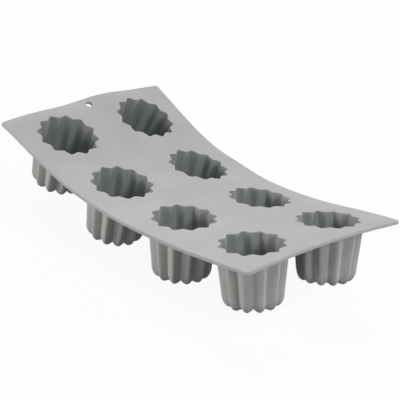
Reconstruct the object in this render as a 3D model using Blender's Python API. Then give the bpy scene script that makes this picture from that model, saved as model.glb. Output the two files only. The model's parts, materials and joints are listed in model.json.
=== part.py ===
"""Silicone canele mould: a flexible sheet with eight fluted cups, four rows of two.

The mould is drawn as it lies flat, in arc length s along the sheet, width y across it and depth below
its top face. lie() then bends that flat drawing into the gently curled shape in which the mould rests.
Metres, +Z up. The end with the hanging hole is at -X, and column a is on the -Y side.
"""
import math

import bmesh
import bpy
import numpy as np
from mathutils import Matrix, Vector

# Sheet, 300 by 175 mm with these lands beyond the outermost cup mouths
END_LAND = 0.0105
SIDE_LAND = 0.0170
SHEET_THICKNESS = 0.0032
SHEET_CORNER_RADIUS = 0.0015
HANG_HOLE_RADIUS = 0.0032
HANG_HOLE_INSET = 0.008

# Cups
ROW_COUNT = 4
# the second row from the hole end is held, and the others fold from it
HELD_ROW = 1
COLUMN_NAMES = ("a", "b")
ROW_PITCH = 0.075
COLUMN_PITCH = 0.087
CUP_HEIGHT = 0.050
MOUTH_RADIUS = 0.0270
FLUTE_COUNT = 12
INNER_FLUTE_DEPTH = 0.0035
OUTER_FLUTE_DEPTH = 0.0040
WALL_THICKNESS = 0.0023
GROOVE_AND_SWELL = (0.98, 0.70)
RIB_AND_CREASE = (0.70, 0.995)
DRAFT_ANGLE = math.radians(6.5)
FOOT_ROUND_WIDTH = 0.0070
FOOT_ROUND_HEIGHT = 0.0120
# the flutes run over the foot, a little shallower at its end, and fade out toward the standing ring
FOOT_FLUTE_SHARE = 0.85
FLUTE_FADE_WIDTH = 0.0045

# Floor that a finger pushes up to free a cake, inside the ring that the cup stands on
STANDING_RING_WIDTH = 0.0019
FLOOR_THICKNESS = 0.0025
FLOOR_RAISE = 0.0010
FLOOR_DOME = 0.0015

# Curl of the sheet at rest: its pitch at the hole end, at each row and at the plain end
HOLE_END_PITCH = math.radians(-12.8)
ROW_PITCH_ANGLES = tuple(math.radians(angle) for angle in (-18.1, -5.5, 5.5, 10.7))
PLAIN_END_PITCH = math.radians(8.4)
# how far both long edges hang below the middle line
EDGE_DROOP = 0.0040
# how far each row is rolled, as the drop of the near edge and the rise of the far one
ROW_ROLLS = (0.0029, 0.0, 0.0, 0.0015)
# where the sheet is steepest, a cup's weight turns it back a little from square to the sheet
CUP_LEANS = {(0, 0): math.radians(-4.0)}

# Fits and facets
GAP = 0.0003
SEAT_MARGIN = 0.0008
CUP_LAND = 0.0015
CUP_SEGMENTS = 4 * FLUTE_COUNT
FLOOR_SEGMENTS = 24
HOLE_SEGMENTS = 24
FOOT_TURNS = [math.radians(angle) for angle in (30, 60, 90)]
EDGE_STEP = 0.009
CORNER_STEPS = 3
CURVE_SAMPLES = 301
TANGENT_STEP = 0.0005
SMOOTH_ANGLE = math.radians(38)

# Colours, as linear values
SHEET_GREY = (0.470, 0.470, 0.462)
WEB_GREY = (0.450, 0.450, 0.442)
CUP_GREY = (0.400, 0.402, 0.392)
FLOOR_GREY = (0.330, 0.335, 0.330)

ROW_PLACES = [(row - (ROW_COUNT - 1) / 2) * ROW_PITCH for row in range(ROW_COUNT)]
COLUMN_PLACES = [-COLUMN_PITCH / 2, COLUMN_PITCH / 2]
WEB_PLACES = [(a + b) / 2 for a, b in zip(ROW_PLACES, ROW_PLACES[1:])]
HALF_LENGTH = ROW_PLACES[-1] + MOUTH_RADIUS + END_LAND
HALF_WIDTH = COLUMN_PLACES[-1] + MOUTH_RADIUS + SIDE_LAND

# the outer ribs start at the underside of the sheet, one wall outside the mouth's points
DRAFT = math.tan(DRAFT_ANGLE)
RIB_RADIUS = MOUTH_RADIUS - SHEET_THICKNESS * DRAFT + WALL_THICKNESS
SEAT_RADIUS = RIB_RADIUS + SEAT_MARGIN
# the strip that flexes takes what the lands round the cups leave between two rows
WEB_WIDTH = ROW_PITCH - 2 * (SEAT_RADIUS + CUP_LAND)

# the straight wall ends where the foot's rounding starts
STRAIGHT_END = CUP_HEIGHT - FOOT_ROUND_HEIGHT
RIB_LOW = RIB_RADIUS - (STRAIGHT_END - SHEET_THICKNESS) * DRAFT
FOOT_RADIUS = RIB_LOW - FOOT_ROUND_WIDTH
RING_EDGE_RADIUS = FOOT_RADIUS - FLUTE_FADE_WIDTH
FLOOR_RADIUS = RING_EDGE_RADIUS - STANDING_RING_WIDTH


# The curl of the sheet

STATIONS = np.array([-HALF_LENGTH, *ROW_PLACES, HALF_LENGTH]) / HALF_LENGTH
STATION_PITCHES = [HOLE_END_PITCH, *ROW_PITCH_ANGLES, PLAIN_END_PITCH]
PITCH_CURVE = np.polyfit(STATIONS, STATION_PITCHES, len(STATIONS) - 1)
ROLL_CURVE = np.polyfit(STATIONS[1:-1], ROW_ROLLS, ROW_COUNT - 1)
SAMPLES = np.linspace(-HALF_LENGTH, HALF_LENGTH, CURVE_SAMPLES)
SAMPLE_PITCHES = np.polyval(PITCH_CURVE, SAMPLES / HALF_LENGTH)


def run_along(slopes):
    """Distance covered along the middle line, from its middle, where each stretch has a slope."""
    steps = (slopes[1:] + slopes[:-1]) / 2 * np.diff(SAMPLES)
    run = np.concatenate([[0.0], np.cumsum(steps)])
    return run - np.interp(0.0, SAMPLES, run)


MIDDLE_X = run_along(np.cos(SAMPLE_PITCHES))
MIDDLE_Z = run_along(np.sin(SAMPLE_PITCHES))


def top_face(s, y):
    """Points of the curled sheet's top face, for arrays of s and y."""
    across = y / HALF_WIDTH
    drop = EDGE_DROOP * across**2 - np.polyval(ROLL_CURVE, s / HALF_LENGTH) * across
    pitch = np.interp(s, SAMPLES, SAMPLE_PITCHES)
    x = np.interp(s, SAMPLES, MIDDLE_X) + np.sin(pitch) * drop
    z = np.interp(s, SAMPLES, MIDDLE_Z) - np.cos(pitch) * drop
    return np.stack([x, y, z], axis=-1)


def tangents(s, y):
    """Directions along and across the top face."""
    small = TANGENT_STEP
    along = top_face(s + small, y) - top_face(s - small, y)
    across = top_face(s, y + small) - top_face(s, y - small)
    along /= np.linalg.norm(along, axis=-1, keepdims=True)
    across /= np.linalg.norm(across, axis=-1, keepdims=True)
    return along, across


def lie(flat):
    """Bends flat points (s, y, -depth) into the sheet's resting shape."""
    flat = np.asarray(flat, dtype=float)
    s, y, height = flat[..., 0], flat[..., 1], flat[..., 2]
    normal = np.cross(*tangents(s, y))
    normal /= np.linalg.norm(normal, axis=-1, keepdims=True)
    return top_face(s, y) + normal * height[..., None]


def cup_frame(row, column):
    """Placement of a cup: its origin on the top face, +Z up its axis and X along the sheet."""
    s, y = np.array(ROW_PLACES[row]), np.array(COLUMN_PLACES[column])
    along, across = (Vector(direction) for direction in tangents(s, y))
    axis = along.cross(across).normalized()
    turn = Matrix((along, axis.cross(along), axis)).transposed().to_4x4()
    lean = Matrix.Rotation(CUP_LEANS.get((row, column), 0.0), 4, "Y")
    return Matrix.Translation(Vector(top_face(s, y))) @ turn @ lean


def web_axis_point(s):
    """A point on a flexing strip's fold line, at the middle of the sheet's thickness."""
    return Vector(lie([s, 0.0, -SHEET_THICKNESS / 2 - EDGE_DROOP / 3]))


# Outlines

def circle(radius, segments):
    """Points of a circle."""
    turns = np.linspace(0, 2 * math.pi, segments, endpoint=False)
    return np.stack([radius * np.cos(turns), radius * np.sin(turns)], axis=-1)


CUP_TURNS = np.linspace(0, 2 * math.pi, CUP_SEGMENTS, endpoint=False)


def zigzag(outer_turn, inner_turn):
    """How far a flute's outline stands in round a cup: 0 at its outer turns, 1 at its inner ones.

    Its flanks are nearly straight. The nearer a turn's factor is to 1, the sharper that turn is.
    """
    wave = np.cos(FLUTE_COUNT * CUP_TURNS)
    factor = np.where(wave > 0, outer_turn, inner_turn)
    wave = np.arcsin(factor * wave) / factor
    return (wave.max() - wave) / (wave.max() - wave.min())


# narrow grooves between rounded swells inside, and narrow creases between rounded ribs outside
SWELLS = INNER_FLUTE_DEPTH * zigzag(*GROOVE_AND_SWELL)
CREASES = OUTER_FLUTE_DEPTH * zigzag(*RIB_AND_CREASE)


def fluted_ring(radius, depth, flutes, turn=0.0):
    """A ring whose flutes stand in from its radius, or up from its depth once the wall has turned level."""
    reach = radius - flutes * math.cos(turn)
    height = flutes * math.sin(turn) - depth
    return np.stack([reach * np.cos(CUP_TURNS), reach * np.sin(CUP_TURNS), height], axis=-1)


def foot_ring(low_radius, width, height, flutes, turn):
    """A fluted ring on the foot's rounding, which starts where the straight wall ends."""
    radius = low_radius - width * (1 - math.cos(turn))
    share = 1 - (1 - FOOT_FLUTE_SHARE) * math.sin(turn) ** 6
    return fluted_ring(radius, STRAIGHT_END + height * math.sin(turn), flutes * share, turn)


def plain_ring(radius, depth):
    """A circle of a cup's points."""
    return fluted_ring(radius, depth, np.zeros(CUP_SEGMENTS))


def spread(start, end, step):
    """Evenly spaced values from start up to, but without, end."""
    count = max(2, round(abs(end - start) / step))
    return np.linspace(start, end, count, endpoint=False)


def panel_outline(low, high, round_low, round_high):
    """Outline of a stretch of the sheet, with its outer corners rounded at a sheet end."""
    points = []
    sides = [(high, -1, round_high), (high, 1, round_high), (low, 1, round_low), (low, -1, round_low)]
    corners = []
    for s, y_side, rounded in sides:
        s_side = 1 if s == high else -1
        radius = SHEET_CORNER_RADIUS if rounded else 0.0
        centre = np.array([s - s_side * radius, y_side * (HALF_WIDTH - radius)])
        if not rounded:
            corners.append([centre])
            continue
        first = math.atan2(y_side, s_side) - math.pi / 4
        turns = first + np.linspace(0, math.pi / 2, CORNER_STEPS + 1)
        corners.append([centre + radius * np.array([math.cos(t), math.sin(t)]) for t in turns])
    for corner, following in zip(corners, corners[1:] + corners[:1]):
        points += corner[:-1]
        start, end = corner[-1], following[0]
        for share in spread(0.0, 1.0, EDGE_STEP / np.linalg.norm(end - start)):
            points.append(start + (end - start) * share)
    return points


# Meshes

def ring_of(bm, points, height=0.0):
    """A closed ring of vertices, with its edges."""
    verts = [bm.verts.new((point[0], point[1], height)) for point in points]
    edges = [bm.edges.new((a, b)) for a, b in zip(verts, verts[1:] + verts[:1])]
    return verts, edges


def bridge(bm, first, second):
    """A band of faces between two rings with as many vertices."""
    for i in range(len(first)):
        j = (i + 1) % len(first)
        bm.faces.new((first[i], first[j], second[j], second[i]))


def thicken(bm):
    """Turns the flat top face into a closed slab as thick as the sheet."""
    copied = bmesh.ops.extrude_face_region(bm, geom=bm.faces[:], use_keep_orig=True)
    under = [item for item in copied["geom"] if isinstance(item, bmesh.types.BMVert)]
    bmesh.ops.translate(bm, verts=under, vec=(0, 0, -SHEET_THICKNESS))
    bmesh.ops.recalc_face_normals(bm, faces=bm.faces[:])
    return under


def bend(bm, keep_flat=Matrix.Identity(4)):
    """Moves flat points to where they lie, seen from keep_flat's frame."""
    bm.verts.ensure_lookup_table()
    bent = lie([vert.co for vert in bm.verts])
    inverse = keep_flat.inverted()
    for vert, place in zip(bm.verts, bent):
        vert.co = inverse @ Vector(place)


def make_object(name, bm, colour, parent, placement):
    """Adds a finished mesh, given in its own frame, as one sub-part with its own material."""
    bmesh.ops.recalc_face_normals(bm, faces=bm.faces[:])
    mesh = bpy.data.meshes.new(name)
    bm.to_mesh(mesh)
    bm.free()
    mesh.shade_smooth()
    mesh.set_sharp_from_angle(angle=SMOOTH_ANGLE)
    material = bpy.data.materials.new(name + "_silicone")
    material.use_nodes = True
    shader = material.node_tree.nodes["Principled BSDF"]
    shader.inputs["Base Color"].default_value = (*colour, 1.0)
    shader.inputs["Roughness"].default_value = 0.55
    shader.inputs["Metallic"].default_value = 0.0
    mesh.materials.append(material)
    return attach(bpy.data.objects.new(name, mesh), parent, placement)


def attach(thing, parent, placement):
    """Adds an object to the scene at a placement, as a child of its parent."""
    bpy.context.scene.collection.objects.link(thing)
    thing.parent = parent
    thing.matrix_basis = parent.matrix_world.inverted() @ placement if parent else placement
    bpy.context.view_layer.update()
    return thing


def make_empty(name, parent, placement):
    """Adds an empty that carries what moves with it."""
    empty = bpy.data.objects.new(name, None)
    return attach(empty, parent, placement)


# Sub-parts

def deck_panel(row, parent, placement):
    """The stretch of sheet round one row of cups, with their fluted mouths cut through."""
    first, last = row == 0, row == ROW_COUNT - 1
    low = -HALF_LENGTH if first else WEB_PLACES[row - 1] + WEB_WIDTH / 2 + GAP
    high = HALF_LENGTH if last else WEB_PLACES[row] - WEB_WIDTH / 2 - GAP
    bm = bmesh.new()
    rims = ring_of(bm, panel_outline(low, high, first, last))[1]
    mouths = []
    for y in COLUMN_PLACES:
        centre = np.array([ROW_PLACES[row], y])
        seat_verts, seat_edges = ring_of(bm, circle(SEAT_RADIUS, CUP_SEGMENTS) + centre)
        mouth_verts, mouth_edges = ring_of(bm, fluted_ring(MOUTH_RADIUS, 0.0, SWELLS)[:, :2] + centre)
        mouths.append((centre, seat_verts, mouth_verts))
        rims += seat_edges
    if first:
        hole_centre = np.array([-HALF_LENGTH + HANG_HOLE_INSET, 0.0])
        rims += ring_of(bm, circle(HANG_HOLE_RADIUS, HOLE_SEGMENTS) + hole_centre)[1]
    bmesh.ops.triangle_fill(bm, use_beauty=True, edges=rims, normal=(0, 0, 1))
    for centre, seat_verts, mouth_verts in mouths:
        bridge(bm, seat_verts, mouth_verts)
    under = thicken(bm)
    # the mouths narrow downwards, with the same draft as the cups
    tip = MOUTH_RADIUS - SHEET_THICKNESS * DRAFT
    for centre, _, _ in mouths:
        middle = Vector(centre)
        for vert in under:
            offset = vert.co.xy - middle
            if offset.length < RIB_RADIUS:
                vert.co.xy = middle + offset * ((offset.length - MOUTH_RADIUS + tip) / offset.length)
    bend(bm, placement)
    return make_object(f"deck_row_{row + 1}", bm, SHEET_GREY, parent, placement)


def flex_web(index, parent, placement):
    """The strip of sheet between two rows, which bends when the mould is flexed."""
    low = WEB_PLACES[index] - WEB_WIDTH / 2
    high = WEB_PLACES[index] + WEB_WIDTH / 2
    bm = bmesh.new()
    across = np.append(spread(-HALF_WIDTH, HALF_WIDTH, EDGE_STEP), HALF_WIDTH)
    along = np.linspace(low, high, 4)
    grid = [[bm.verts.new((s, y, 0.0)) for y in across] for s in along]
    for line, following in zip(grid, grid[1:]):
        for i in range(len(across) - 1):
            bm.faces.new((line[i], following[i], following[i + 1], line[i + 1]))
    thicken(bm)
    bend(bm, placement)
    return make_object(f"flex_web_{index + 1}_{index + 2}", bm, WEB_GREY, parent, placement)


def cup_wall(row, column, parent, placement):
    """A fluted cup's wall, rounded foot and standing ring, open in the middle for its floor."""
    centre = np.array([ROW_PLACES[row], COLUMN_PLACES[column]])
    top_depth = SHEET_THICKNESS + GAP
    rib_top = RIB_RADIUS - GAP * DRAFT
    floor_depth = CUP_HEIGHT - FLOOR_THICKNESS
    inner_round_height = floor_depth - STRAIGHT_END
    inner_round_width = FOOT_ROUND_WIDTH - WALL_THICKNESS
    tip_low = RIB_LOW - WALL_THICKNESS
    hole_radius = FLOOR_RADIUS + GAP

    bm = bmesh.new()
    inverse = placement.inverted()

    def seat_ring(radius, flutes):
        """The top of the wall, which follows the curled sheet's underside."""
        flat = fluted_ring(radius, top_depth, flutes) + [*centre, 0.0]
        return [bm.verts.new(inverse @ Vector(place)) for place in lie(flat)]

    def ring(points):
        return [bm.verts.new(point) for point in points]

    rings = [seat_ring(rib_top, CREASES), ring(fluted_ring(RIB_LOW, STRAIGHT_END, CREASES))]
    for turn in FOOT_TURNS:
        rings.append(ring(foot_ring(RIB_LOW, FOOT_ROUND_WIDTH, FOOT_ROUND_HEIGHT, CREASES, turn)))
    rings.append(ring(plain_ring(RING_EDGE_RADIUS, CUP_HEIGHT)))
    rings.append(ring(plain_ring(hole_radius, CUP_HEIGHT)))
    rings.append(ring(plain_ring(hole_radius, floor_depth)))
    for turn in reversed(FOOT_TURNS):
        rings.append(ring(foot_ring(tip_low, inner_round_width, inner_round_height, SWELLS, turn)))
    rings.append(ring(fluted_ring(tip_low, STRAIGHT_END, SWELLS)))
    rings.append(seat_ring(rib_top - WALL_THICKNESS, SWELLS))
    for upper, lower in zip(rings, rings[1:] + rings[:1]):
        bridge(bm, upper, lower)
    name = f"cup_wall_{row + 1}{COLUMN_NAMES[column]}"
    return make_object(name, bm, CUP_GREY, parent, placement)


def cup_floor(row, column, parent, placement):
    """The round middle of a cup's bottom, slightly domed and clear of the table."""
    bm = bmesh.new()
    faces = []
    for height in (FLOOR_RAISE - CUP_HEIGHT, FLOOR_RAISE + FLOOR_THICKNESS - CUP_HEIGHT):
        rim = ring_of(bm, circle(FLOOR_RADIUS, FLOOR_SEGMENTS), height)[0]
        middle = ring_of(bm, circle(FLOOR_RADIUS / 2, FLOOR_SEGMENTS), height + FLOOR_DOME * 0.75)[0]
        crown = bm.verts.new((0, 0, height + FLOOR_DOME))
        bridge(bm, rim, middle)
        for i in range(FLOOR_SEGMENTS):
            bm.faces.new((middle[i], middle[(i + 1) % FLOOR_SEGMENTS], crown))
        faces.append(rim)
    bridge(bm, faces[0], faces[1])
    name = f"cup_floor_{row + 1}{COLUMN_NAMES[column]}"
    return make_object(name, bm, FLOOR_GREY, parent, placement)


def build_mould():
    """Builds every sub-part under one empty, with an empty on each fold line."""
    mould = make_empty("mould", None, Matrix.Identity(4))
    folds = [Matrix.Translation(web_axis_point(s)) for s in WEB_PLACES]
    rows = [None] * ROW_COUNT
    rows[HELD_ROW] = make_empty(f"row_{HELD_ROW + 1}", mould, Matrix.Identity(4))
    for row in reversed(range(HELD_ROW)):
        rows[row] = make_empty(f"row_{row + 1}", rows[row + 1], folds[row])
    for row in range(HELD_ROW + 1, ROW_COUNT):
        rows[row] = make_empty(f"row_{row + 1}", rows[row - 1], folds[row - 1])

    for row, carrier in enumerate(rows):
        deck_panel(row, carrier, carrier.matrix_world.copy())
        for column in range(len(COLUMN_PLACES)):
            placement = cup_frame(row, column)
            wall = cup_wall(row, column, carrier, placement)
            cup_floor(row, column, wall, placement)
    for index in range(len(WEB_PLACES)):
        carrier = rows[max(index, HELD_ROW)]
        flex_web(index, carrier, carrier.matrix_world.copy())
    stand_on_origin(mould)


def stand_on_origin(mould):
    """Moves the mould so that its feet are at height zero and its box is centred on the origin."""
    places = [
        part.matrix_world @ vert.co
        for part in bpy.data.objects
        if part.type == "MESH"
        for vert in part.data.vertices
    ]
    low = Vector(min(place[axis] for place in places) for axis in range(3))
    high = Vector(max(place[axis] for place in places) for axis in range(3))
    mould.location = (-(low.x + high.x) / 2, -(low.y + high.y) / 2, -low.z)
    bpy.context.view_layer.update()


for old in list(bpy.data.objects):
    bpy.data.objects.remove(old, do_unlink=True)
build_mould()
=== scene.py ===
# %% [markdown]
# # A silicone canele mould
# The mould is a sheet of grey silicone, 300 by 175 mm, with eight fluted cups under it. It is cast in
# one go, so it has no seams, and it is soft, so it lies with a gentle curl.
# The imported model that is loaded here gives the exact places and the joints. This script models the
# finished skin over it: fine flutes, rounded edges and a matte silicone surface.

# %% Load the fixed model
import json
import math

import bmesh
import bpy
import numpy as np
from mathutils import Matrix, Vector


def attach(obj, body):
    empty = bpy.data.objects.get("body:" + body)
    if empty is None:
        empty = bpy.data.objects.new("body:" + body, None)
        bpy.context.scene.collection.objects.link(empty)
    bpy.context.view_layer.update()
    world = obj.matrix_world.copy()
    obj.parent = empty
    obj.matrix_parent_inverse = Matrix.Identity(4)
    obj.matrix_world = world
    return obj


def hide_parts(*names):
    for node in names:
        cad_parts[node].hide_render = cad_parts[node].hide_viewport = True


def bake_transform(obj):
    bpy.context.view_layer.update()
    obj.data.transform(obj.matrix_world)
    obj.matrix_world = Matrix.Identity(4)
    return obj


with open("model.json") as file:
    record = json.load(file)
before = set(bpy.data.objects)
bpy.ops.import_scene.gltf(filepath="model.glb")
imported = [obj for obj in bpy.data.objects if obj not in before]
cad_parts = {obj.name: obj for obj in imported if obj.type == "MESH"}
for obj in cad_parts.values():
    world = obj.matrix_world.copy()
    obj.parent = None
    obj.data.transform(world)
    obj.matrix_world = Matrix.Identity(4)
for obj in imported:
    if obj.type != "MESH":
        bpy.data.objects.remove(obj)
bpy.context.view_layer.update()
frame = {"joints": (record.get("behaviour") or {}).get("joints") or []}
joint_points = {joint["name"]: joint.get("pos_m") for joint in frame["joints"]}

# %% [markdown]
# ## Sizes
# These are the sizes of the flat mould, in metres, the same as in the solid model. All modelling is
# done flat: s runs along the sheet, y across it, and depth goes down from its top face. A flat mould is
# easy to draw, and one function then curls every point of it.

# %% Sizes of the flat mould
SHEET_THICKNESS = 0.0032
SHEET_CORNER_RADIUS = 0.0015
HALF_LENGTH = 0.150
HALF_WIDTH = 0.0875
HOLE_RADIUS = 0.0032
HOLE_INSET = 0.008

ROW_PLACES = [-0.1125, -0.0375, 0.0375, 0.1125]
COLUMN_PLACES = {"a": -0.0435, "b": 0.0435}
CUP_HEIGHT = 0.050
MOUTH_RADIUS = 0.0270
INNER_FLUTE_DEPTH = 0.0035
OUTER_FLUTE_DEPTH = 0.0040
WALL_THICKNESS = 0.0023
DRAFT = math.tan(math.radians(6.5))
RIB_RADIUS = MOUTH_RADIUS - SHEET_THICKNESS * DRAFT + WALL_THICKNESS
ROWS = len(ROW_PLACES)
print("sheet", 2000 * HALF_LENGTH, "by", 2000 * HALF_WIDTH, "mm, mouths", 2000 * MOUTH_RADIUS, "mm across")

# %% [markdown]
# ## The curl
# The sheet's pitch, its slope along the mould, is known at both ends and at each row of cups. A smooth
# curve through those six angles gives the slope everywhere, and adding up its cosine and sine gives the
# middle line. Across the sheet the long edges hang a little, and both ends are slightly rolled.
# A Simple Deform modifier bends only to one even arc, so the curl is computed here instead.

# %% Curl the middle line
# degrees at the hole end, at each row and at the plain end
PITCHES = [-12.8, -18.1, -5.5, 5.5, 10.7, 8.4]
# how far the roll raises the far edge at each row
ROLLS = [0.0029, 0.0, 0.0, 0.0015]
EDGE_DROOP = 0.0040

stations = np.array([-HALF_LENGTH, *ROW_PLACES, HALF_LENGTH]) / HALF_LENGTH
pitch_curve = np.polyfit(stations, np.radians(PITCHES), len(PITCHES) - 1)
roll_curve = np.polyfit(stations[1:-1], ROLLS, len(ROLLS) - 1)

# one sample for each millimetre
samples = np.linspace(-HALF_LENGTH, HALF_LENGTH, 301)
pitches = np.polyval(pitch_curve, samples / HALF_LENGTH)


def add_up(slopes):
    """Distance covered from the sheet's middle, where each stretch has a slope."""
    run = np.concatenate([[0.0], np.cumsum((slopes[1:] + slopes[:-1]) / 2 * np.diff(samples))])
    return run - np.interp(0.0, samples, run)


middle_x, middle_z = add_up(np.cos(pitches)), add_up(np.sin(pitches))
print("height of the hole end over the middle", round(1000 * middle_z[0], 1), "mm")

# %% [markdown]
# Near its free edges thin silicone is never quite flat. In the photograph the end with the hole has one
# shallow wave, and the far long edge rises a little beside the second and the last pair of cups and dips
# near the hole end. All of this fades out within some centimetres, so the cups' middles keep their places.

# %% Add the small waves near the edges
END_LIFT, END_WAVE, END_REACH = 0.0004, 0.0016, 0.015
WAVE_LENGTH, WAVE_SHIFT = 0.1, 0.003
# place along the far edge, reach and height
SIDE_WAVES = [(-0.030, 0.022, 0.0014), (-0.145, 0.025, -0.0010), (0.115, 0.035, 0.0009)]


def soft_hump(distance, reach):
    """A smooth hump, 1 at its middle."""
    return np.exp(-((distance / reach) ** 2))


def edge_waves(s, y):
    """Height of the waves near the hole end and the far long edge."""
    fade = np.cos(math.pi * y / (2 * WAVE_LENGTH)) ** 2
    end = END_LIFT + END_WAVE * fade * np.sin(math.tau * (y + WAVE_SHIFT) / WAVE_LENGTH)
    side = sum(height * soft_hump(s - place, reach) for place, reach, height in SIDE_WAVES)
    return end * soft_hump(s + HALF_LENGTH, END_REACH) + side * np.clip(y / HALF_WIDTH, 0, 1) ** 4


across_end = np.linspace(-HALF_WIDTH, HALF_WIDTH, 50)
print("wave at the hole end", np.round(1000 * edge_waves(-HALF_LENGTH, across_end).max(), 1), "mm high")


# %% Curl any point of the flat mould
def top_face(s, y):
    """Where points of the flat sheet's top face lie when it is curled."""
    across = y / HALF_WIDTH
    drop = EDGE_DROOP * across**2 - np.polyval(roll_curve, s / HALF_LENGTH) * across - edge_waves(s, y)
    pitch = np.interp(s, samples, pitches)
    x = np.interp(s, samples, middle_x) + np.sin(pitch) * drop
    z = np.interp(s, samples, middle_z) - np.cos(pitch) * drop
    return np.stack([x, y, z], axis=-1)


def directions(s, y):
    """The directions along, across and out of the curled top face."""
    small = 0.0005
    along = top_face(s + small, y) - top_face(s - small, y)
    across = top_face(s, y + small) - top_face(s, y - small)
    along /= np.linalg.norm(along, axis=-1, keepdims=True)
    across /= np.linalg.norm(across, axis=-1, keepdims=True)
    out = np.cross(along, across)
    return along, across, out / np.linalg.norm(out, axis=-1, keepdims=True)


def curl_unplaced(flat):
    """Curls flat points, with the sheet's middle still at the origin."""
    s, y, height = flat[:, 0], flat[:, 1], flat[:, 2]
    return top_face(s, y) + directions(s, y)[2] * height[:, None]


# the middle fold line's joint says where the sheet's middle is in the model
middle_of_fold = np.array([[0.0, 0.0, -SHEET_THICKNESS / 2 - EDGE_DROOP / 3]])
PLACE = np.array(joint_points["fold_2_3"]) - curl_unplaced(middle_of_fold)[0]


def curl_sheet(flat):
    """Curls flat points (s, y, -depth) of the sheet into their place in the model."""
    return curl_unplaced(np.asarray(flat, float)) + PLACE


print("sheet's middle at", np.round(1000 * curl_sheet([[0, 0, 0]])[0], 2), "mm")

# %% [markdown]
# A cup is thick and short, so it keeps its round shape while the sheet round its mouth curls. Each cup
# therefore stays straight in its own frame, square to the sheet at its middle, and only its rim follows
# the sheet. The small difference at the rim fades out down to where the straight wall ends. The near cup
# beside the hole end hangs where the sheet is steepest, and its weight turns it back by four degrees.

# %% Curl a cup
RIM_DEPTH = SHEET_THICKNESS + 0.0003
STRAIGHT_END = 0.038
LEANS = {(ROW_PLACES[0], COLUMN_PLACES["a"]): math.radians(4.0)}


def cup_axes(s0, y0):
    """A cup's middle on the top face, and its three axes: along the sheet, across it and up."""
    along, across, up = (d[0] for d in directions(np.array([s0]), np.array([y0])))
    lean = LEANS.get((s0, y0), 0.0)
    along, up = math.cos(lean) * along + math.sin(lean) * up, math.cos(lean) * up - math.sin(lean) * along
    return top_face(np.array([s0]), np.array([y0]))[0] + PLACE, np.stack([along, np.cross(up, along), up])


def curl_cup(flat, s0, y0):
    """Curls flat points of the cup whose middle is at s0, y0."""
    flat = np.asarray(flat, float)
    middle, axes = cup_axes(s0, y0)

    def stiff(points):
        return middle + (points - [s0, y0, 0.0]) @ axes

    rim = flat.copy()
    rim[:, 2] = np.maximum(flat[:, 2], -RIM_DEPTH)
    fade = np.clip(1 - (-flat[:, 2] - RIM_DEPTH) / (STRAIGHT_END - RIM_DEPTH), 0, 1)
    shift = curl_sheet(rim) - stiff(rim)
    return stiff(flat) + shift * fade[:, None]


for row, s0 in enumerate(ROW_PLACES):
    up = cup_axes(s0, COLUMN_PLACES["a"])[1][2]
    print(f"row {row + 1}: cups lean {math.degrees(math.acos(up[2])):.1f} degrees")


# %% [markdown]
# ## The silicone
# The real surface is satin silicone: one grey all through, slightly cloudy, with a very fine grain from
# the steel mould that it was cast in and a few specks of dust, which silicone always attracts. Four
# noise textures on the object's own coordinates make it, at real sizes, so neighbouring pieces join
# without a break. They sit in a node group, because the sheet, strips and cups all use them.


# %% Build the silicone node group
def new_group(name, inputs, outputs):
    """A shader node group with named sockets, and its input and output nodes."""
    group = bpy.data.node_groups.new(name, "ShaderNodeTree")
    for socket, kind, value in inputs:
        made = group.interface.new_socket(socket, in_out="INPUT", socket_type=kind)
        made.default_value = value
    for socket, kind in outputs:
        group.interface.new_socket(socket, in_out="OUTPUT", socket_type=kind)
    return group, group.nodes.new("NodeGroupInput"), group.nodes.new("NodeGroupOutput")


def noise(group, where, scale, detail, roughness=0.5):
    """A noise texture of a scale in features per metre."""
    node = group.nodes.new("ShaderNodeTexNoise")
    node.inputs["Scale"].default_value = scale
    node.inputs["Detail"].default_value = detail
    node.inputs["Roughness"].default_value = roughness
    group.links.new(where.outputs["Object"], node.inputs["Vector"])
    return node


def spread_to(group, source, low, high, to_low, to_high):
    """Maps a value from one range to another, held inside it."""
    node = group.nodes.new("ShaderNodeMapRange")
    limits = {"From Min": low, "From Max": high, "To Min": to_low, "To Max": to_high}
    for socket, value in limits.items():
        node.inputs[socket].default_value = value
    group.links.new(source, node.inputs["Value"])
    return node.outputs["Result"]


silicone, given, made = new_group(
    "satin_silicone",
    [("Grey", "NodeSocketColor", (0.47, 0.47, 0.462, 1)), ("Cloud", "NodeSocketFloat", 0.04),
     ("Dust", "NodeSocketFloat", 0.25), ("Roughness", "NodeSocketFloat", 0.5),
     ("Grain", "NodeSocketFloat", 0.15)],
    [("Color", "NodeSocketColor"), ("Roughness", "NodeSocketFloat"), ("Normal", "NodeSocketVector")],
)
where = silicone.nodes.new("ShaderNodeTexCoord")
cloud = noise(silicone, where, scale=28, detail=3)
haze = noise(silicone, where, scale=210, detail=2)
grain = noise(silicone, where, scale=2600, detail=3, roughness=0.6)
speck = noise(silicone, where, scale=900, detail=1)
print("node group", silicone.name, "with", len(silicone.nodes), "nodes so far")

# %% Join the noises into colour, roughness and grain
# most of a noise lies between these two values
NOISE_LOW, NOISE_HIGH = 0.3, 0.7
CLOUD_SHARE, HAZE_SHARE = 0.7, 0.3
SPECK_START, SPECK_FULL = 0.76, 0.82
DUST_GREY = (0.72, 0.72, 0.70, 1)
HAZE_POLISH = 0.05
GRAIN_HEIGHT = 0.00006


def maths(group, operation, first, second):
    """A math node for two values, each of them a number or another node's output."""
    node = group.nodes.new("ShaderNodeMath")
    node.operation = operation
    for socket, value in zip(node.inputs, (first, second)):
        if isinstance(value, (int, float)):
            socket.default_value = value
        else:
            group.links.new(value, socket)
    return node.outputs[0]


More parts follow.
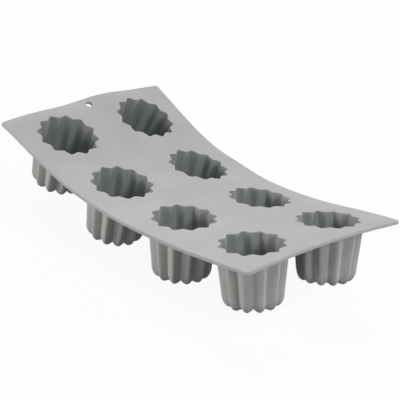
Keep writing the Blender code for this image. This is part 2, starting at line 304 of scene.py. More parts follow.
link = silicone.links.new
tone = maths(silicone, "ADD", maths(silicone, "MULTIPLY", cloud.outputs["Fac"], CLOUD_SHARE),
             maths(silicone, "MULTIPLY", haze.outputs["Fac"], HAZE_SHARE))
tone = spread_to(silicone, tone, NOISE_LOW, NOISE_HIGH, -1.0, 1.0)
shade = maths(silicone, "ADD", maths(silicone, "MULTIPLY", tone, given.outputs["Cloud"]), 1.0)
clouded = silicone.nodes.new("ShaderNodeVectorMath")
clouded.operation = "SCALE"
link(given.outputs["Grey"], clouded.inputs[0])
link(shade, clouded.inputs["Scale"])

dust = spread_to(silicone, speck.outputs["Fac"], SPECK_START, SPECK_FULL, 0.0, 1.0)
dust = maths(silicone, "MULTIPLY", dust, given.outputs["Dust"])
dusted = silicone.nodes.new("ShaderNodeMix")
dusted.data_type = "RGBA"
link(dust, dusted.inputs["Factor"])
link(clouded.outputs["Vector"], dusted.inputs["A"])
dusted.inputs["B"].default_value = DUST_GREY
link(dusted.outputs["Result"], made.inputs["Color"])

polish = spread_to(silicone, haze.outputs["Fac"], NOISE_LOW, NOISE_HIGH, -HAZE_POLISH, HAZE_POLISH)
link(maths(silicone, "ADD", polish, given.outputs["Roughness"]), made.inputs["Roughness"])

bump = silicone.nodes.new("ShaderNodeBump")
bump.inputs["Distance"].default_value = GRAIN_HEIGHT
link(given.outputs["Grain"], bump.inputs["Strength"])
link(grain.outputs["Fac"], bump.inputs["Height"])
link(bump.outputs["Normal"], made.inputs["Normal"])
print("node group", silicone.name, "has", len(silicone.nodes), "nodes")

# %% [markdown]
# The sheet and the cups' outsides are matt, as silicone cast against blasted steel is. The cups' insides
# are smoother, as from polished steel, so that the cakes come out with a shine. Their grey is painted darker
# and slightly bluish: painted shade for the deep insides of the cups. So two materials are made from the
# same group.


# %% Make the materials
def silicone_material(name, grey, cloudiness, roughness, grain):
    """A silicone with its own grey, cloudiness, roughness and grain."""
    material = bpy.data.materials.new(name)
    material.use_nodes = True
    material.diffuse_color = (*grey, 1)
    tree = material.node_tree
    shader = tree.nodes["Principled BSDF"]
    group = tree.nodes.new("ShaderNodeGroup")
    group.node_tree = silicone
    group.inputs["Grey"].default_value = (*grey, 1)
    group.inputs["Cloud"].default_value = cloudiness
    group.inputs["Roughness"].default_value = roughness
    group.inputs["Grain"].default_value = grain
    for socket, target in (("Color", "Base Color"), ("Roughness", "Roughness"), ("Normal", "Normal")):
        tree.links.new(group.outputs[socket], shader.inputs[target])
    shader.inputs["Specular IOR Level"].default_value = 0.4
    shader.inputs["IOR"].default_value = 1.41
    return material


MATT_GREY = (0.47, 0.47, 0.466)
# painted shade: the insides' grey is darker and slightly bluish, standing for the shade deep in the cups
SHADED_INSIDE_GREY = (0.302, 0.317, 0.319)
matt = silicone_material("matt_silicone", MATT_GREY, cloudiness=0.08, roughness=0.6, grain=0.18)
polished_shaded = silicone_material("polished_silicone", SHADED_INSIDE_GREY, cloudiness=0.03, roughness=0.4, grain=0.08)
print("materials", matt.name, polished_shaded.name)

# %% [markdown]
# ## Rings
# Cups and sheet are both drawn as rings round a cup's axis. A ring of 192 points has 16 for each flute,
# set closer together at the points and creases, where the shape turns most. A circle is added once, and
# each further ring is extruded from the last one and put in its place, as one would by hand with E and S.
# A number on each vertex says where round the ring it is, and extruding copies that number.

# %% Add a ring and extrude it
FLUTES = 12
POINTS_PER_FLUTE = 16
RING_POINTS = POINTS_PER_FLUTE * FLUTES


def deselect_everything():
    """Leaves edit mode and deselects every object."""
    if bpy.context.object and bpy.context.object.mode == "EDIT":
        bpy.ops.object.mode_set(mode="OBJECT")
    bpy.ops.object.select_all(action="DESELECT")


def add_ring(name, count, points):
    """A circle with a vertex for each point, moved there, left in edit mode with all selected."""
    deselect_everything()
    bpy.ops.mesh.primitive_circle_add(vertices=count, radius=1.0)
    ring = bpy.context.object
    ring.name = ring.data.name = name
    place = ring.data.attributes.new("place", "INT", "POINT")
    for vertex in ring.data.vertices:
        number = round(math.atan2(vertex.co.y, vertex.co.x) / math.tau * count) % count
        place.data[vertex.index].value = number
        vertex.co = points[number]
    bpy.ops.object.mode_set(mode="EDIT")
    bpy.ops.mesh.select_mode(type="VERT")
    bpy.ops.mesh.select_all(action="SELECT")
    return ring


def extrude_to(points):
    """Extrudes the selected ring and moves each new vertex to its point."""
    bpy.ops.mesh.extrude_region()
    mesh = bpy.context.object.data
    work = bmesh.from_edit_mesh(mesh)
    place = work.verts.layers.int["place"]
    for vertex in work.verts:
        if vertex.select:
            vertex.co = points[vertex[place]]
    bmesh.update_edit_mesh(mesh)


print("a ring has", RING_POINTS, "points for", FLUTES, "flutes")

# %% Angles round a ring
CROWDING = 0.45


def ring_angles():
    """Angles of a ring's points, closer together at each flute's point and each crease."""
    steps = np.arange(RING_POINTS) / (POINTS_PER_FLUTE // 2)
    return math.pi / FLUTES * (steps - CROWDING * np.sin(math.tau * steps) / math.tau)


ANGLES = ring_angles()
gaps = np.diff(ANGLES) * MOUTH_RADIUS * 1000
print(f"points lie {gaps.min():.2f} to {gaps.max():.2f} mm apart round a mouth")

# %% [markdown]
# ## The sheet
# In plan, each cup has a tile of the sheet round it, whose rings run from the collar round the mouth out
# to the tile's border. Plain grids fill the strips between the tiles, and one small patch goes round the
# hanging hole. The collar itself belongs to the cup, so that the join is a plain circle on flat silicone.

# %% Draw a tile round a cup
COLLAR_RADIUS = 0.0302
PANEL_REACH = 0.0315
STRIP_HALF = 0.008
TILE_RINGS = 7
SIDE_POINTS = RING_POINTS // 4
FIRST_ROW, LAST_ROW = 0, ROWS - 1
ROW_LIMITS = [[s0 - PANEL_REACH, s0 + PANEL_REACH] for s0 in ROW_PLACES]
ROW_LIMITS[FIRST_ROW][0], ROW_LIMITS[LAST_ROW][1] = -HALF_LENGTH, HALF_LENGTH


def border_point(number, low_s, high_s, low_y, high_y):
    """A point of a tile's border. Each side has a quarter of the points, evenly spaced."""
    side, step = divmod((number + SIDE_POINTS // 2) % RING_POINTS, SIDE_POINTS)
    share = step / SIDE_POINTS
    corners = [(high_s, low_y), (high_s, high_y), (low_s, high_y), (low_s, low_y)]
    start, end = np.array(corners[side]), np.array(corners[(side + 1) % 4])
    return start + (end - start) * share


def round_corner(point):
    """Moves a point at a corner of the sheet on to the corner's rounding."""
    centre = np.sign(point) * (np.array([HALF_LENGTH, HALF_WIDTH]) - SHEET_CORNER_RADIUS)
    offset = point - centre
    if (offset * np.sign(point) > 0).all():
        return centre + offset * SHEET_CORNER_RADIUS / np.linalg.norm(offset)
    return point


def add_tile(row, y0):
    """The sheet round one cup, in plan, as rings from the collar out to the tile's border."""
    s0, side = ROW_PLACES[row], math.copysign(1, y0)
    low_y, high_y = sorted((side * STRIP_HALF, side * HALF_WIDTH))
    inner = np.stack([s0 + COLLAR_RADIUS * np.cos(ANGLES), y0 + COLLAR_RADIUS * np.sin(ANGLES)], axis=-1)
    border = [border_point(number, *ROW_LIMITS[row], low_y, high_y) for number in range(RING_POINTS)]
    outer = np.array([round_corner(point) for point in border])
    tile = add_ring("tile", RING_POINTS, np.column_stack([inner, np.zeros(RING_POINTS)]))
    for share in np.linspace(0, 1, TILE_RINGS + 1)[1:]:
        extrude_to(np.column_stack([inner + (outer - inner) * share, np.zeros(RING_POINTS)]))
    deselect_everything()
    return tile


tiles = [add_tile(row, y0) for row in range(ROWS) for y0 in COLUMN_PLACES.values()]
print(len(tiles), "tiles of", len(tiles[0].data.polygons), "faces")

# %% Fill between the tiles
STRIP_STEPS = 12
WEB_STEPS = 8


def add_grid(low_s, high_s, low_y, high_y, count_s, count_y):
    """A flat grid between limits."""
    deselect_everything()
    middle = ((low_s + high_s) / 2, (low_y + high_y) / 2, 0)
    bpy.ops.mesh.primitive_grid_add(
        x_subdivisions=count_s, y_subdivisions=count_y, size=1, location=middle
    )
    grid = bpy.context.object
    grid.scale = (high_s - low_s, high_y - low_y, 1)
    bpy.ops.object.transform_apply(location=True, rotation=False, scale=True)
    return grid


bands = [
    (-HALF_WIDTH, -STRIP_HALF, SIDE_POINTS),
    (-STRIP_HALF, STRIP_HALF, STRIP_STEPS),
    (STRIP_HALF, HALF_WIDTH, SIDE_POINTS),
]
grids = []
for row, (low_s, high_s) in enumerate(ROW_LIMITS):
    step = (high_s - low_s) / SIDE_POINTS
    # the hanging hole's patch takes the first square of the strip
    first = low_s + STRIP_STEPS * step if row == FIRST_ROW else low_s
    count = round((high_s - first) / step)
    grids.append(add_grid(first, high_s, -STRIP_HALF, STRIP_HALF, count, STRIP_STEPS))
for row in range(ROWS - 1):
    for low_y, high_y, count in bands:
        low_s, high_s = ROW_LIMITS[row][1], ROW_LIMITS[row + 1][0]
        grids.append(add_grid(low_s, high_s, low_y, high_y, WEB_STEPS, count))
print(len(grids), "grids between the tiles")

# %% Draw the patch round the hanging hole
HOLE_POINTS = 4 * STRIP_STEPS
PATCH_RINGS = [0.12, 0.35, 0.65, 1.0]
HOLE_MIDDLE = -HALF_LENGTH + HOLE_INSET
patch_low, panel_high = ROW_LIMITS[FIRST_ROW]
patch_high = patch_low + STRIP_STEPS * (panel_high - patch_low) / SIDE_POINTS
turns = np.arange(HOLE_POINTS) * math.tau / HOLE_POINTS
hole = np.stack([HOLE_MIDDLE + HOLE_RADIUS * np.cos(turns), HOLE_RADIUS * np.sin(turns)], axis=-1)
corners = np.array([
    (patch_high, -STRIP_HALF), (patch_high, STRIP_HALF), (patch_low, STRIP_HALF), (patch_low, -STRIP_HALF),
])


def patch_border(number):
    """A point of the patch's square border, of which each side has a quarter."""
    side, step = divmod((number + STRIP_STEPS // 2) % HOLE_POINTS, STRIP_STEPS)
    return corners[side] + (corners[(side + 1) % 4] - corners[side]) * step / STRIP_STEPS


border = np.array([patch_border(number) for number in range(HOLE_POINTS)])
patch = add_ring("patch", HOLE_POINTS, np.column_stack([hole, np.zeros(HOLE_POINTS)]))
for share in PATCH_RINGS:
    extrude_to(np.column_stack([hole + (border - hole) * share, np.zeros(HOLE_POINTS)]))
deselect_everything()
print("hanging hole", 2000 * HOLE_RADIUS, "mm across,", 1000 * HOLE_INSET, "mm from the end")

# %% [markdown]
# Joined and merged, the plan is one flat skin with eight round openings and the hanging hole. Extruding it
# down gives the slab. The real sheet's outer edges are slightly rounded, so a bevel rounds the outline and
# the hole's rim, while the collars' edges stay square, because the cups meet them there.

# %% Join the plan and give it thickness
SAME_POINT = 0.00002


def select_where(test, kind):
    """Selects only the edges or faces that pass a test, and counts them."""
    bpy.ops.mesh.select_mode(type={"edges": "EDGE", "faces": "FACE"}[kind])
    bpy.ops.mesh.select_all(action="DESELECT")
    mesh = bpy.context.object.data
    work = bmesh.from_edit_mesh(mesh)
    chosen = 0
    for item in getattr(work, kind):
        if test(item):
            item.select_set(True)
            chosen += 1
    work.select_flush_mode()
    bmesh.update_edit_mesh(mesh)
    return chosen


deselect_everything()
for part in [*tiles, *grids, patch]:
    part.select_set(True)
bpy.context.view_layer.objects.active = tiles[0]
bpy.ops.object.join()
sheet = bpy.context.object
sheet.name = "sheet"
bpy.ops.object.mode_set(mode="EDIT")
bpy.ops.mesh.select_all(action="SELECT")
bpy.ops.mesh.remove_doubles(threshold=SAME_POINT)
open_edges = select_where(lambda edge: edge.is_boundary, "edges")
bpy.ops.mesh.select_all(action="SELECT")
bpy.ops.mesh.extrude_region_move(TRANSFORM_OT_translate={"value": (0, 0, -SHEET_THICKNESS)})
bpy.ops.mesh.select_all(action="SELECT")
bpy.ops.mesh.normals_make_consistent(inside=False)
print("plan has", open_edges, "open edges round its outline, collars and hole")

# %% Round the outline and the hole's rim
EDGE_ROUNDING = 0.0005
EDGE_ZONE = 0.0035
HOLE_ZONE = 1.1 * HOLE_RADIUS
LEVEL_WITHIN = 0.0001
SHARP_ANGLE = 1.2


def by_outline(point):
    """Whether a point lies beside the sheet's outer edge."""
    return abs(point.x) > HALF_LENGTH - EDGE_ZONE or abs(point.y) > HALF_WIDTH - EDGE_ZONE


def by_hole(point):
    """Whether a point lies on the hanging hole's rim."""
    return math.hypot(point.x - HOLE_MIDDLE, point.y) < HOLE_ZONE


def round_rim(beside, segments):
    """Bevels the sharp level edges whose middle passes a test."""
    def sharp_and_level(edge):
        first, second = (vertex.co for vertex in edge.verts)
        if abs(first.z - second.z) > LEVEL_WITHIN or len(edge.link_faces) != 2:
            return False
        return edge.calc_face_angle() > SHARP_ANGLE and beside((first + second) / 2)

    count = select_where(sharp_and_level, "edges")
    bpy.ops.mesh.bevel(
        offset=EDGE_ROUNDING, segments=segments, profile=0.5, affect="EDGES", clamp_overlap=False
    )
    return count


outline, rim = round_rim(by_outline, 4), round_rim(by_hole, 3)
bpy.ops.object.mode_set(mode="OBJECT")
sheet.data.materials.append(matt)
print("rounded", outline, "edges of the outline and", rim, "of the hole")

# %% [markdown]
# When the mould is flexed, it bends in the strips between two rows, and the rest stays nearly straight
# round the stiff cups. So the slab is cut along the edges of those strips: four panels, each moving with
# its own row, and three strips between the rows. The cuts are closed, each piece is curled, and because
# neighbours share the cut's points, the joins don't show.

# %% Cut the sheet into panels and strips
# the end panels' cuts lie this far past the sheet's ends
PAST_END = 0.001


def move_points(piece, mapping):
    """Moves all of a piece's points with a function of an array of points."""
    flat = np.array([vertex.co for vertex in piece.data.vertices])
    piece.data.vertices.foreach_set("co", mapping(flat).astype(np.float32).ravel())
    piece.data.update()


def cut_out(low_s, high_s):
    """Takes the stretch between two cuts off the sheet, and closes its cut faces."""
    deselect_everything()
    sheet.select_set(True)
    bpy.context.view_layer.objects.active = sheet
    bpy.ops.object.mode_set(mode="EDIT")
    count = select_where(lambda face: low_s < face.calc_center_median().x < high_s, "faces")
    bpy.ops.mesh.separate(type="SELECTED")
    bpy.ops.object.mode_set(mode="OBJECT")
    piece = next(o for o in bpy.context.selected_objects if o is not sheet)
    deselect_everything()
    piece.select_set(True)
    bpy.context.view_layer.objects.active = piece
    bpy.ops.object.mode_set(mode="EDIT")
    for cut in (low_s, high_s):
        def on_cut(edge):
            return edge.is_boundary and all(abs(vertex.co.x - cut) < SAME_POINT for vertex in edge.verts)

        if select_where(on_cut, "edges"):
            bpy.ops.mesh.fill(use_beauty=True)
    bpy.ops.mesh.select_all(action="SELECT")
    bpy.ops.mesh.normals_make_consistent(inside=False)
    bpy.ops.object.mode_set(mode="OBJECT")
    move_points(piece, curl_sheet)
    print(count, "faces between", round(1000 * low_s, 1), "and", round(1000 * high_s, 1), "mm")
    return piece


webs = [cut_out(ROW_LIMITS[row][1], ROW_LIMITS[row + 1][0]) for row in range(ROWS - 1)]
panels = [
    cut_out(low_s - PAST_END * (row == FIRST_ROW), high_s + PAST_END * (row == LAST_ROW))
    for row, (low_s, high_s) in enumerate(ROW_LIMITS)
]
print("left on the sheet after cutting:", len(sheet.data.polygons), "faces")
bpy.data.objects.remove(sheet)

# %% Finish the panels and strips
SMOOTH_BELOW = math.radians(84)


def finish_piece(piece, name):
    """Names a piece, drops its ring numbers and smooths all but its hidden cut edges."""
    deselect_everything()
    piece.data.attributes.remove(piece.data.attributes["place"])
    piece.name = piece.data.name = name
    piece.select_set(True)
    bpy.context.view_layer.objects.active = piece
    bpy.ops.object.shade_smooth_by_angle(angle=SMOOTH_BELOW)
    piece.select_set(False)


for row, web in enumerate(webs):
    finish_piece(web, f"flexing_strip_{row + 1}_{row + 2}")
for row, panel in enumerate(panels):
    finish_piece(panel, f"sheet_row_{row + 1}")
print("finished", *(piece.name for piece in panels + webs))

# %% [markdown]
# ## The cups
# Inside, twelve narrow grooves run down between broad swells, because the flutes of the cake are the
# reverse. The wall is evenly thick, so outside the silicone runs over each groove as a rounded rib, with
# a sharp crease between two ribs. Seen from above, both outlines are zigzags with straight flanks, and only
# their turns differ: a narrow turn inside the groove becomes a wide one on the rib.
# The arcsine of a cosine is such a zigzag. A factor just under 1 rounds its turns, the smaller the rounder.


# %% Outlines of the flutes
def zigzag(outer_turn, inner_turn):
    """How far a flute's outline stands in round a ring: 0 at its outer turns, 1 at its inner ones."""
    wave = np.cos(FLUTES * ANGLES)
    factor = np.where(wave > 0, outer_turn, inner_turn)
    wave = np.arcsin(factor * wave) / factor
    return (wave.max() - wave) / (wave.max() - wave.min())


swells = zigzag(outer_turn=0.98, inner_turn=0.70)
creases = zigzag(outer_turn=0.70, inner_turn=0.995)
# under the foot the ribs end as rounder lobes
LOBE_ROUNDNESS = 1.8
from_rib = np.abs(np.arcsin(np.sin(FLUTES * ANGLES / 2))) / (math.pi / 2)
lobes = from_rib ** LOBE_ROUNDNESS
print("mean share of the flutes' depth:", np.round([swells.mean(), creases.mean()], 2), "inside and outside")


# %% Rings of the cup's two skins
def fluted_ring(radius, depth, flutes, turn=0.0):
    """A ring whose flutes stand in from its radius, or up from its depth where the skin is level."""
    reach = radius - flutes * math.cos(turn)
    height = flutes * math.sin(turn) - depth
    return np.stack([reach * np.cos(ANGLES), reach * np.sin(ANGLES), height], axis=-1)


def inside_ring(radius, depth, turn=0.0, share=1.0):
    """A ring of the inside, with a share of its flutes' full depth."""
    return fluted_ring(radius, depth, INNER_FLUTE_DEPTH * share * swells, turn)


def outside_ring(radius, depth, turn=0.0, share=1.0):
    """A ring of the outside, whose ribs become rounder lobes as the wall turns level."""
    rounded = math.sin(turn) ** 2
    profile = creases * (1 - rounded) + lobes * rounded
    return fluted_ring(radius, depth, OUTER_FLUTE_DEPTH * share * profile, turn)


def plain_ring(radius, depth):
    """A ring without flutes."""
    return fluted_ring(radius, depth, np.zeros(RING_POINTS))


narrowest = np.hypot(*inside_ring(MOUTH_RADIUS, 0.0)[:, :2].T).min()
print("a mouth's swells come in to", round(1000 * narrowest, 1), "mm from its middle")

# %% [markdown]
# At the foot the wall turns in under the cup, and the flutes run on over the turn. The cup stands on
# twelve rounded lobes, and the notches between them fade out toward its floor, which is raised a little
# and slightly domed. So the same list of radii, heights and shares of the flutes' depth serves both skins.

# %% Shape of the bottom
FOOT_HEIGHT, FOOT_WIDTH = 0.0120, 0.0070
FLOOR_THICKNESS = 0.0025
LEVEL = math.pi / 2
TIP_LOW = MOUTH_RADIUS - STRAIGHT_END * DRAFT
RIB_LOW = RIB_RADIUS - (STRAIGHT_END - SHEET_THICKNESS) * DRAFT
FOOT_SHARE = 0.85
BOTTOM = [
    (0.0172, 0.0000, 0.76), (0.0164, 0.0000, 0.66), (0.0156, 0.0000, 0.55), (0.0148, 0.0001, 0.44),
    (0.0140, 0.0002, 0.32), (0.0133, 0.0004, 0.22), (0.0127, 0.0007, 0.12), (0.0121, 0.0010, 0.04),
    (0.0114, 0.0013, 0.0), (0.0100, 0.0016, 0.0), (0.0080, 0.0019, 0.0), (0.0055, 0.0022, 0.0),
    (0.0025, 0.0024, 0.0),
]


def foot_share(turn):
    """Share of the flutes' depth that is left where the wall has turned by an angle."""
    return 1 - (1 - FOOT_SHARE) * math.sin(turn) ** 6


print("bottom:", len(BOTTOM), "rings, raised by", round(1000 * BOTTOM[-1][1], 1), "mm in the middle")

# %% Rings down the inside
MOUTH_ROUNDING = 0.0006
COLLAR_STEP = 0.0004
INSIDE_START = 0.0020
WALL_RINGS_IN, FOOT_RINGS_IN = 13, 9
ROUNDING_TURNS = np.radians([0, 30, 60, 90])
inside = [plain_ring(COLLAR_RADIUS, 0.0)]
collar = inside_ring(MOUTH_RADIUS + MOUTH_ROUNDING + COLLAR_STEP, 0.0)
inside += [inside[0] * 0.5 + collar * 0.5, collar]
for turn in ROUNDING_TURNS:
    radius = MOUTH_RADIUS + MOUTH_ROUNDING * (1 - math.sin(turn))
    inside.append(inside_ring(radius, MOUTH_ROUNDING * (1 - math.cos(turn))))
for depth in np.linspace(INSIDE_START, STRAIGHT_END, WALL_RINGS_IN):
    inside.append(inside_ring(MOUTH_RADIUS - depth * DRAFT, depth))
floor_depth = CUP_HEIGHT - FLOOR_THICKNESS
for turn in np.radians(np.linspace(0, 90, FOOT_RINGS_IN + 1)[1:]):
    radius = TIP_LOW - (FOOT_WIDTH - WALL_THICKNESS) * (1 - math.cos(turn))
    depth = STRAIGHT_END + (floor_depth - STRAIGHT_END) * math.sin(turn)
    inside.append(inside_ring(radius, depth, turn, foot_share(turn)))
for radius, lift, share in BOTTOM:
    inside.append(inside_ring(radius, floor_depth - lift, LEVEL, share))
print("inside:", len(inside), "rings, down to", round(1000 * -inside[-1][0][2], 1), "mm")

# %% Rings down the outside
UNDER_ROUNDING = 0.0010
OUTSIDE_START = 0.0065
WALL_RINGS_OUT, FOOT_RINGS_OUT = 12, 13
outside = [plain_ring(COLLAR_RADIUS, SHEET_THICKNESS)]
for turn in ROUNDING_TURNS:
    depth = SHEET_THICKNESS + UNDER_ROUNDING * (1 - math.cos(turn))
    radius = RIB_RADIUS - (depth - SHEET_THICKNESS) * DRAFT
    outside.append(outside_ring(radius + UNDER_ROUNDING * (1 - math.sin(turn)), depth))
for depth in np.linspace(OUTSIDE_START, STRAIGHT_END, WALL_RINGS_OUT):
    outside.append(outside_ring(RIB_RADIUS - (depth - SHEET_THICKNESS) * DRAFT, depth))
for turn in np.radians(np.linspace(0, 90, FOOT_RINGS_OUT + 1)[1:]):
    radius = RIB_LOW - FOOT_WIDTH * (1 - math.cos(turn))
    depth = STRAIGHT_END + FOOT_HEIGHT * math.sin(turn)
    outside.append(outside_ring(radius, depth, turn, foot_share(turn)))
for radius, lift, share in BOTTOM:
    outside.append(outside_ring(radius, CUP_HEIGHT - lift, LEVEL, share))
foot = -min(ring[0][2] for ring in outside)
print("outside:", len(outside), "rings, foot at", round(1000 * foot, 1), "mm")

# %% [markdown]
# One cup is extruded ring by ring: from the collar's lower edge up over its rim, across the top and down
# the inside, where the last ring is pulled together into one point. The outside starts again from the
# lower edge. That gives one closed skin with a real wall, and the other seven cups are copies of it with
# their own meshes, each curled at its own place.

# %% Model the flat cup
flat_cup = add_ring("cup", RING_POINTS, outside[0])
for ring in inside:
    extrude_to(ring)
bpy.ops.mesh.extrude_region()
bpy.ops.mesh.merge(type="CENTER")

select_where(lambda edge: edge.is_boundary, "edges")
bpy.ops.mesh.select_mode(type="VERT")
for ring in outside[1:]:
    extrude_to(ring)
bpy.ops.mesh.extrude_region()
bpy.ops.mesh.merge(type="CENTER")
bpy.ops.mesh.select_all(action="SELECT")
bpy.ops.mesh.normals_make_consistent(inside=False)
open_left = select_where(lambda edge: not edge.is_manifold, "edges")
print("flat cup:", len(outside) + len(inside), "rings,", open_left, "open edges")

# %% Polish the inside and paint its shade
POLISH_AND_SHADE_START = 0.0004


def facing_in(face):
    """Whether a face of the cup points up from below the mouth's rounded edge."""
    return face.normal.z > 0 and face.calc_center_median().z < -POLISH_AND_SHADE_START


flat_cup.data.materials.append(matt)
flat_cup.data.materials.append(polished_shaded)
# the insides take the smoother material, whose darker bluish grey is painted shade
count = select_where(facing_in, "faces")
flat_cup.active_material_index = 1
bpy.ops.object.material_slot_assign()
bpy.ops.object.mode_set(mode="OBJECT")
print(count, "faces polished")

# %% Copy and curl the eight cups
cups = {}
for row, s0 in enumerate(ROW_PLACES):
    for column, y0 in COLUMN_PLACES.items():
        deselect_everything()
        flat_cup.select_set(True)
        bpy.context.view_layer.objects.active = flat_cup
        bpy.ops.object.duplicate(linked=False)
        cup = bpy.context.object
        move_points(cup, lambda flat: curl_cup(flat + [s0, y0, 0.0], s0, y0))
        finish_piece(cup, f"cup_{row + 1}{column}")
        cups[f"{row + 1}{column}"] = cup
bpy.data.objects.remove(flat_cup)
print("cups", sorted(cups))

# %% [markdown]
# ## What moves with what
# Each panel rides on its row. The strips and the cups stay where they were curled, and the solid model's
# parts that the pieces stand in for are hidden. In the real mould, pushing a cup's floor up shortens the
# cup smoothly, as soft silicone does, with no tear round the floor.

# %% Tie the panels to their rows and hide the solid parts
BEND_INSET = 0.0005
PUSH_START, PUSH_END = 0.006, 0.044


def on_sheet(s):
    """The middle of the sheet's thickness at s."""
    return tuple(curl_sheet([[s, 0.0, -SHEET_THICKNESS / 2]])[0])


for row, panel in enumerate(panels):
    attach(panel, f"row_{row + 1}")
    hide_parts(f"deck_row_{row + 1}")
for row, web in enumerate(webs):
    start, end = ROW_LIMITS[row][1] + BEND_INSET, ROW_LIMITS[row + 1][0] - BEND_INSET
    on_sheet(start)
    on_sheet(end)
    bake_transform(web)
    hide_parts(f"flex_web_{row + 1}_{row + 2}")
for name, cup in cups.items():
    middle, axes = cup_axes(ROW_PLACES[int(name[0]) - 1], COLUMN_PLACES[name[1]])
    start, end = middle - PUSH_START * axes[2], middle - PUSH_END * axes[2]
    tuple(start)
    tuple(end)
    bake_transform(cup)
    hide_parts(f"cup_wall_{name}", f"cup_floor_{name}")
print(len(panels), "panels,", len(webs), "strips and", len(cups), "cups")

# %% [markdown]
# ## Floor and light
# The floor is plain and white. Where the camera sees it, straight or in a reflection, it is mostly evenly
# bright, so the ground stays white and keeps only a soft shadow. The light that it throws back under the
# cups is that of a grey table, which leaves the cups their shading.

# %% Lay the floor
FLOOR_SIZE, FLOOR_GAP = 6, 0.0002
deselect_everything()
bpy.ops.mesh.primitive_grid_add(x_subdivisions=2, y_subdivisions=2, size=FLOOR_SIZE)
floor = bpy.context.object
floor.name = "floor"
floor.location.z = -FLOOR_GAP
print("floor at", round(1000 * floor.location.z, 1), "mm")


# %% Colour the floor
def sees_background(tree):
    """1 for rays from the camera and for reflected and refracted ones, 0 for diffuse light."""
    path = tree.nodes.new("ShaderNodeLightPath")
    seen = path.outputs["Is Camera Ray"]
    for ray in ("Is Glossy Ray", "Is Transmission Ray"):
        either = tree.nodes.new("ShaderNodeMath")
        either.operation = "MAXIMUM"
        tree.links.new(seen, either.inputs[0])
        tree.links.new(path.outputs[ray], either.inputs[1])
        seen = either.outputs[0]
    return seen


def mix_shaders(tree, factor, first, second):
    """Mixes two shaders. The factor is a number or another node's output."""
    mix = tree.nodes.new("ShaderNodeMixShader")
    if isinstance(factor, float):
        mix.inputs["Fac"].default_value = factor
    else:
        tree.links.new(factor, mix.inputs["Fac"])
    tree.links.new(first.outputs[0], mix.inputs[1])
    tree.links.new(second.outputs[0], mix.inputs[2])
    return mix


TABLE_GREY, PAPER_WHITE, GLOW_SHARE = 0.2, 0.95, 0.93
paper = bpy.data.materials.new("white_floor")
paper.use_nodes = True
tree = paper.node_tree
grey_table = tree.nodes["Principled BSDF"]
grey_table.inputs["Base Color"].default_value = (TABLE_GREY, TABLE_GREY, TABLE_GREY, 1)
grey_table.inputs["Roughness"].default_value = 0.9
grey_table.inputs["Specular IOR Level"].default_value = 0.0
white = tree.nodes.new("ShaderNodeBsdfDiffuse")
white.inputs["Color"].default_value = (PAPER_WHITE, PAPER_WHITE, PAPER_WHITE, 1)
glow = tree.nodes.new("ShaderNodeEmission")
glow.inputs["Color"].default_value = (1, 1, 1, 1)
ground = mix_shaders(tree, GLOW_SHARE, white, glow)
both = mix_shaders(tree, sees_background(tree), grey_table, ground)
tree.links.new(both.outputs[0], tree.nodes["Material Output"].inputs["Surface"])
floor.data.materials.append(paper)
print("material", paper.name, "has", len(tree.nodes), "nodes")

# %% [markdown]
# Small soft lamps stand all round it, as in a product studio. The low warm ones on the left rake across
# the cups' outsides and leave their right flanks dark. The ones behind and on the right light the insides,
# whose left-facing flanks stay dark. Two high ones, one of them cool, fill the rest. Together they bring
# the top face to a plain level, at which a colour renders about as it is written.

# %% Light the mould
LAMP_DISTANCE, LAMP_SIZE = 1.5, 0.35
MOULD_MIDDLE = Vector((0, 0, 0.05))


def soft_lamp(name, turn, height, level, colour):
    """A square lamp that faces the mould. Its level is the share of a plain level that it gives there."""
    turn, height = math.radians(turn), math.radians(height)
    outward = math.cos(height)
    way = Vector((math.cos(turn) * outward, math.sin(turn) * outward, math.sin(height)))
    data = bpy.data.lights.new(name, "AREA")
    data.size, data.color = LAMP_SIZE, colour
    data.energy = level * (math.pi * LAMP_DISTANCE) ** 2
    lamp = bpy.data.objects.new(name, data)
    bpy.context.scene.collection.objects.link(lamp)
    lamp.location = way * LAMP_DISTANCE + MOULD_MIDDLE
    lamp.rotation_euler = (-way).to_track_quat("-Z", "Y").to_euler()


WARM, WHITE, COOL = (1.0, 0.995, 0.955), (1.0, 1.0, 1.0), (0.93, 0.96, 1.0)
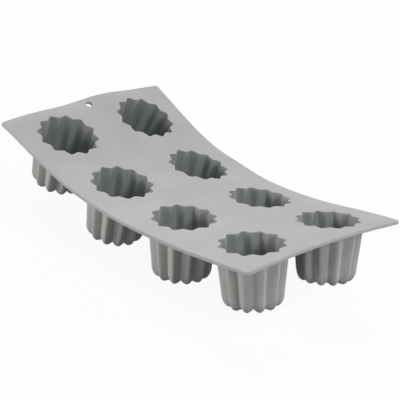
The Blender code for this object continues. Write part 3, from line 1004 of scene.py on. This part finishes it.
# name, turn and height in degrees, level and colour
LAMPS = [
    ("left", -128, 9, 0.48, WARM), ("near_left", -95, 9, 0.14, WARM),
    ("near", -60, 5, 0.08, WARM), ("near_high", -30, 60, 0.18, WHITE),
    ("right", 0, 32, 0.31, WHITE), ("far_right", 60, 20, 0.43, WHITE),
    ("far_left", 150, 20, 0.20, WHITE), ("far_high", 150, 60, 0.28, COOL),
]
for lamp in LAMPS:
    soft_lamp(*lamp)
print(len(LAMPS), "lamps,", LAMP_DISTANCE, "m away")

# %% Light it evenly from all sides
EVEN_LEVEL = 0.02
studio = bpy.data.worlds.new("studio")
bpy.context.scene.world = studio
studio.use_nodes = True
tree = studio.node_tree
even = tree.nodes["Background"]
even.inputs["Color"].default_value = (0.97, 0.985, 1.0, 1)
even.inputs["Strength"].default_value = EVEN_LEVEL
backdrop = tree.nodes.new("ShaderNodeBackground")
backdrop.inputs["Color"].default_value = (1, 1, 1, 1)
backdrop.inputs["Strength"].default_value = 1.0
both = mix_shaders(tree, sees_background(tree), even, backdrop)
tree.links.new(both.outputs[0], tree.nodes["World Output"].inputs["Surface"])
print("even light", EVEN_LEVEL, "of a plain level")

# %% [markdown]
# ## Camera
# The camera stands where the photograph was taken from: 43 degrees round from the near long side and 23
# degrees up, more than a metre away through a long lens, and tilted sideways by 9 degrees.

# %% Set up the camera
AZIMUTH, ELEVATION, TILT = (math.radians(angle) for angle in (42.8855, 23.3088, 8.9569))
FIELD_OF_VIEW = math.radians(15.585)
ASIDE, BELOW, AWAY = 0.0071692, 0.0073978, 1.2103937

outward = math.cos(ELEVATION)
back = Vector((math.sin(AZIMUTH) * outward, -math.cos(AZIMUTH) * outward, math.sin(ELEVATION)))
right = Vector((math.cos(AZIMUTH), math.sin(AZIMUTH), 0))
up = back.cross(right)
cosine, sine = math.cos(TILT), math.sin(TILT)
right, up = cosine * right + sine * up, -sine * right + cosine * up

lens = bpy.data.cameras.new("camera")
lens.sensor_fit = "HORIZONTAL"
lens.angle = FIELD_OF_VIEW
camera = bpy.data.objects.new("camera", lens)
bpy.context.scene.collection.objects.link(camera)
sheet_middle = Vector(curl_sheet([[0.0, 0.0, 0.0]])[0])
place = sheet_middle + right * ASIDE - up * BELOW + back * AWAY
camera.matrix_world = Matrix((right, up, back)).transposed().to_4x4()
camera.location = place
bpy.context.scene.camera = camera
bpy.context.scene.view_settings.view_transform = "Standard"
print("camera at", [round(value, 3) for value in place], "m")
